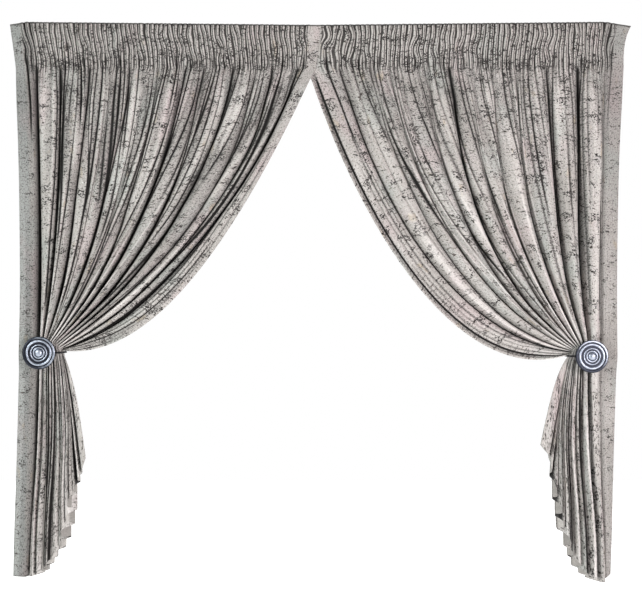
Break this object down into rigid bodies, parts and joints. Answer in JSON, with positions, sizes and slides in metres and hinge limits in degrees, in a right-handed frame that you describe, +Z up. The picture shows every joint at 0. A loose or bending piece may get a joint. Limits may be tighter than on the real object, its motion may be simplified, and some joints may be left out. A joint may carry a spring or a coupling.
{
  "type": "velvet curtain pair with round holdbacks",
  "caption": "Pencil-pleated velvet curtains that meet at the top and are each swept aside behind a round turned holdback, their hems stepping up in folds.",
  "frame": {"origin": "middle of the top edge, where the two curtains overlap", "axes": "+Z up, +X to the right seen from the room, +Y from the room towards the wall"},
  "size_m": [2.795, 0.1715, 2.5028],
  "materials": {
    "velvet": "soft pile, taupe grey with dark scratch marks",
    "aged_silver": "satin, dark in the grooves",
    "dark_steel": "satin black"
  },
  "bodies": {
    "root": {"left_panel": "velvet", "right_panel": "velvet", "left_holdback_disc": "aged_silver", "right_holdback_disc": "aged_silver", "left_holdback_arm": "dark_steel", "right_holdback_arm": "dark_steel", "left_holdback_plate": "dark_steel", "right_holdback_plate": "dark_steel"}
  },
  "joints": []
}
